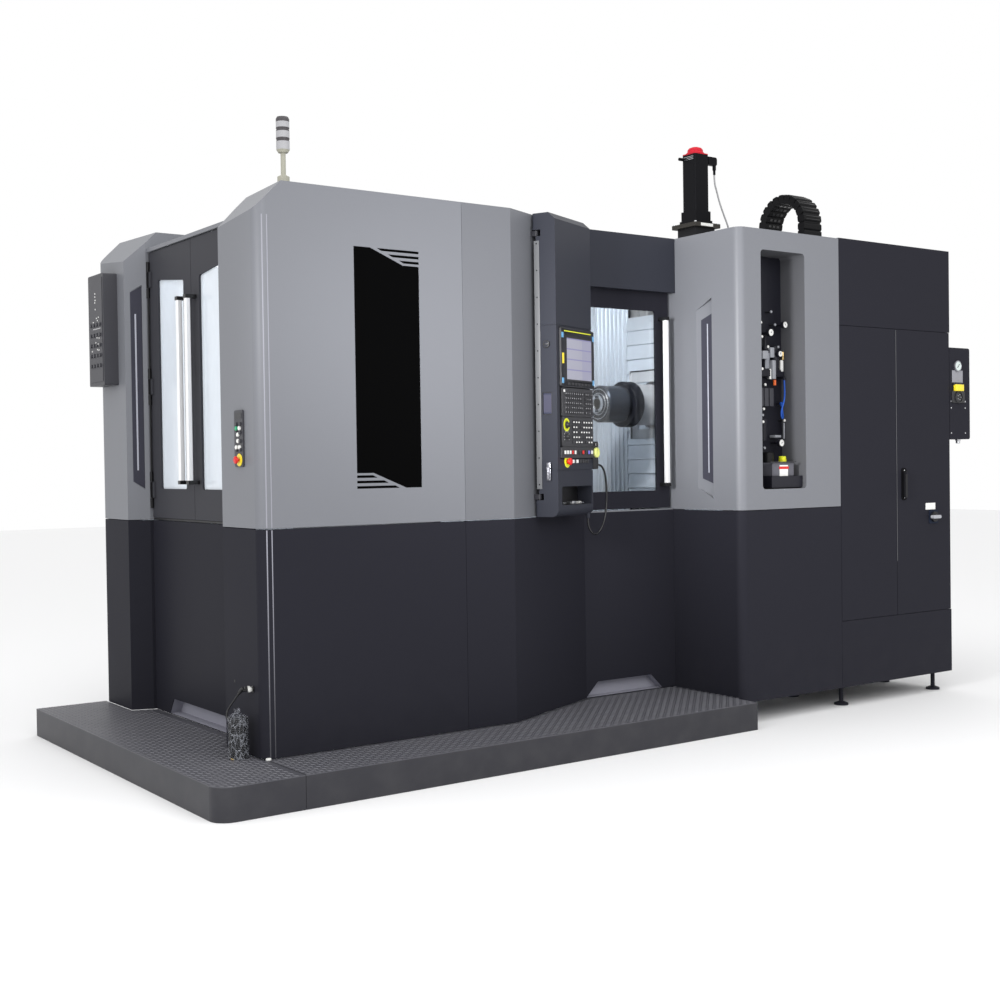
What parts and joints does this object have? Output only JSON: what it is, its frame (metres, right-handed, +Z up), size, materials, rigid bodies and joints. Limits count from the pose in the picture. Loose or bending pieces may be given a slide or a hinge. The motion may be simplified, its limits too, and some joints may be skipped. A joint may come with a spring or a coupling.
{
  "type": "cnc machining center",
  "caption": "Horizontal machining centre with pallet changer: enclosed machine body, loading doors, sliding operator door, swivelling control panel, service bay and electrical cabinet.",
  "frame": {"origin": "On the floor, under the middle of the machine's overall length and depth, steps included.", "axes": "+X along the operator's side from the pallet loading doors to the electrical cabinet, +Y from the operator's side into the machine, +Z up."},
  "size_m": [5.605, 2.591, 3.784],
  "materials": {
    "light_cover": "fine textured paint",
    "dark_cover": "fine textured paint",
    "tread_steel": "raised tread pattern",
    "bright_sheet": "brushed stainless",
    "cast_iron": "machined and painted casting",
    "door_bar": "satin anodised",
    "black_plastic": "moulded black",
    "window_dark": "dark safety glass",
    "window_clear": "laminated safety glass",
    "key_plastic": "key units",
    "stop_red": "moulded red",
    "dial_plastic": "moulded ivory",
    "lamp": "translucent lamp covers",
    "hose_black": "smooth hose",
    "cable_grey": "smooth cable sheath",
    "polished_steel": "ground and polished"
  },
  "bodies": {
    "machine": {"machine_bed": "cast_iron", "side_step": "tread_steel", "front_step": "tread_steel", "corner_cover": "light_cover", "corner_base": "dark_cover", "front_cover": "light_cover", "front_base": "dark_cover", "side_window": "window_dark", "far_side_cover": "light_cover", "far_side_base": "dark_cover", "station_sill": "dark_cover", "roof_panels": "light_cover", "door_fascia": "dark_cover", "utility_cover": "light_cover", "utility_base": "dark_cover", "electrical_cabinet": "dark_cover", "work_area_lining": "bright_sheet", "remote_panel": "dark_cover", "services_box": "dark_cover", "signal_tower": "lamp", "pneumatic_unit": "door_bar", "cable_carrier": "black_plastic", "station_strip": "dark_cover", "wash_valve": "polished_steel", "wash_lead": "hose_black", "wash_coil": "hose_black"},
    "sliding_door": {"operator_door": "dark_cover", "operator_door_window": "window_clear", "operator_door_handle": "door_bar"},
    "near_loading_door": {"near_leaf": "dark_cover", "near_leaf_window": "window_clear", "near_leaf_handle": "door_bar"},
    "far_loading_door": {"far_leaf": "dark_cover", "far_leaf_window": "window_clear", "far_leaf_handle": "door_bar"},
    "operator_panel": {"panel_housing": "dark_cover", "panel_screen": "key_plastic", "panel_keys": "key_plastic", "pendant": "black_plastic", "pendant_cable": "cable_grey"},
    "feed_selector": {"feed_knob": "black_plastic"},
    "speed_selector": {"speed_knob": "black_plastic"},
    "panel_stop": {"panel_estop": "stop_red"},
    "handwheel": {"pendant_dial": "dial_plastic"},
    "station_stop": {"station_estop": "stop_red"},
    "left_cabinet_door": {"cabinet_door_left": "dark_cover"},
    "right_cabinet_door": {"cabinet_door_right": "dark_cover"},
    "cabinet_lever": {"cabinet_handle": "black_plastic"},
    "isolator": {"main_switch": "black_plastic"},
    "travelling_column": {"column": "cast_iron", "way_cover": "bright_sheet", "axis_motor": "dark_cover", "motor_cable": "cable_grey"},
    "headstock": {"spindle_head": "cast_iron", "slat_cover": "bright_sheet"},
    "spindle_rotor": {"spindle": "polished_steel"},
    "table_slide_body": {"table_saddle": "cast_iron"},
    "rotary_table": {"work_pallet": "cast_iron"},
    "pallet_changer": {"changer_arm": "cast_iron", "setup_pallet": "cast_iron"}
  },
  "joints": [
    {"name": "door_slide", "type": "slide", "parent": "machine", "child": "sliding_door", "axis": [1, 0, 0], "range_m": [-0.57, 0]},
    {"name": "near_door_hinge", "type": "hinge", "parent": "machine", "child": "near_loading_door", "pos_m": [-2.2595, -0.3995, 2], "axis": [0, 0, 1], "range_deg": [0, 95]},
    {"name": "far_door_hinge", "type": "hinge", "parent": "machine", "child": "far_loading_door", "pos_m": [-2.2595, 0.8045, 2], "axis": [0, 0, 1], "range_deg": [-95, 0]},
    {"name": "panel_swivel", "type": "hinge", "parent": "machine", "child": "operator_panel", "pos_m": [-0.64984, -0.8189, 2.1], "axis": [0, 0, 1], "range_deg": [-75, 0]},
    {"name": "feed_turn", "type": "hinge", "parent": "operator_panel", "child": "feed_selector", "pos_m": [-0.52286, -0.91233, 1.78], "axis": [0.4067, -0.9135, 0], "range_deg": [-135, 135]},
    {"name": "speed_turn", "type": "hinge", "parent": "operator_panel", "child": "speed_selector", "pos_m": [-0.52286, -0.91233, 1.714], "axis": [0.4067, -0.9135, 0], "range_deg": [-135, 135]},
    {"name": "panel_stop_push", "type": "slide", "parent": "operator_panel", "child": "panel_stop", "axis": [-0.4067, 0.9135, 0], "range_m": [0, 0.005], "stiffness_N_per_m": 600},
    {"name": "handwheel_turn", "type": "hinge", "parent": "operator_panel", "child": "handwheel", "pos_m": [-0.19429, -0.76276, 1.626], "axis": [0.4067, -0.9135, 0], "continuous": true},
    {"name": "station_stop_push", "type": "slide", "parent": "machine", "child": "station_stop", "axis": [1, 0, 0], "range_m": [0, 0.005], "stiffness_N_per_m": 600},
    {"name": "left_cabinet_hinge", "type": "hinge", "parent": "machine", "child": "left_cabinet_door", "pos_m": [1.4855, -1.1365, 1.5], "axis": [0, 0, 1], "range_deg": [-105, 0]},
    {"name": "right_cabinet_hinge", "type": "hinge", "parent": "machine", "child": "right_cabinet_door", "pos_m": [2.5745, -1.1365, 1.5], "axis": [0, 0, 1], "range_deg": [0, 105]},
    {"name": "lever_turn", "type": "hinge", "parent": "right_cabinet_door", "child": "cabinet_lever", "pos_m": [2.0885, -1.1585, 1.47], "axis": [0, 1, 0], "range_deg": [-90, 0]},
    {"name": "isolator_turn", "type": "hinge", "parent": "right_cabinet_door", "child": "isolator", "pos_m": [2.3925, -1.1555, 1.176], "axis": [0, 1, 0], "range_deg": [0, 90]},
    {"name": "column_slide", "type": "slide", "parent": "machine", "child": "travelling_column", "axis": [0, 1, 0], "range_m": [-0.3, 0.3]},
    {"name": "head_slide", "type": "slide", "parent": "travelling_column", "child": "headstock", "axis": [0, 0, 1], "range_m": [-0.33, 0.31]},
    {"name": "spindle_spin", "type": "hinge", "parent": "headstock", "child": "spindle_rotor", "pos_m": [0.7175, 0.2025, 1.96], "axis": [1, 0, 0], "continuous": true},
    {"name": "table_slide", "type": "slide", "parent": "machine", "child": "table_slide_body", "axis": [1, 0, 0], "range_m": [-0.58, 0.28]},
    {"name": "table_turn", "type": "hinge", "parent": "table_slide_body", "child": "rotary_table", "pos_m": [-0.0325, 0.2025, 0.95], "axis": [0, 0, 1], "continuous": true},
    {"name": "changer_turn", "type": "hinge", "parent": "machine", "child": "pallet_changer", "pos_m": [-1.2125, 0.2025, 0.9], "axis": [0, 0, 1], "range_deg": [0, 180]}
  ]
}
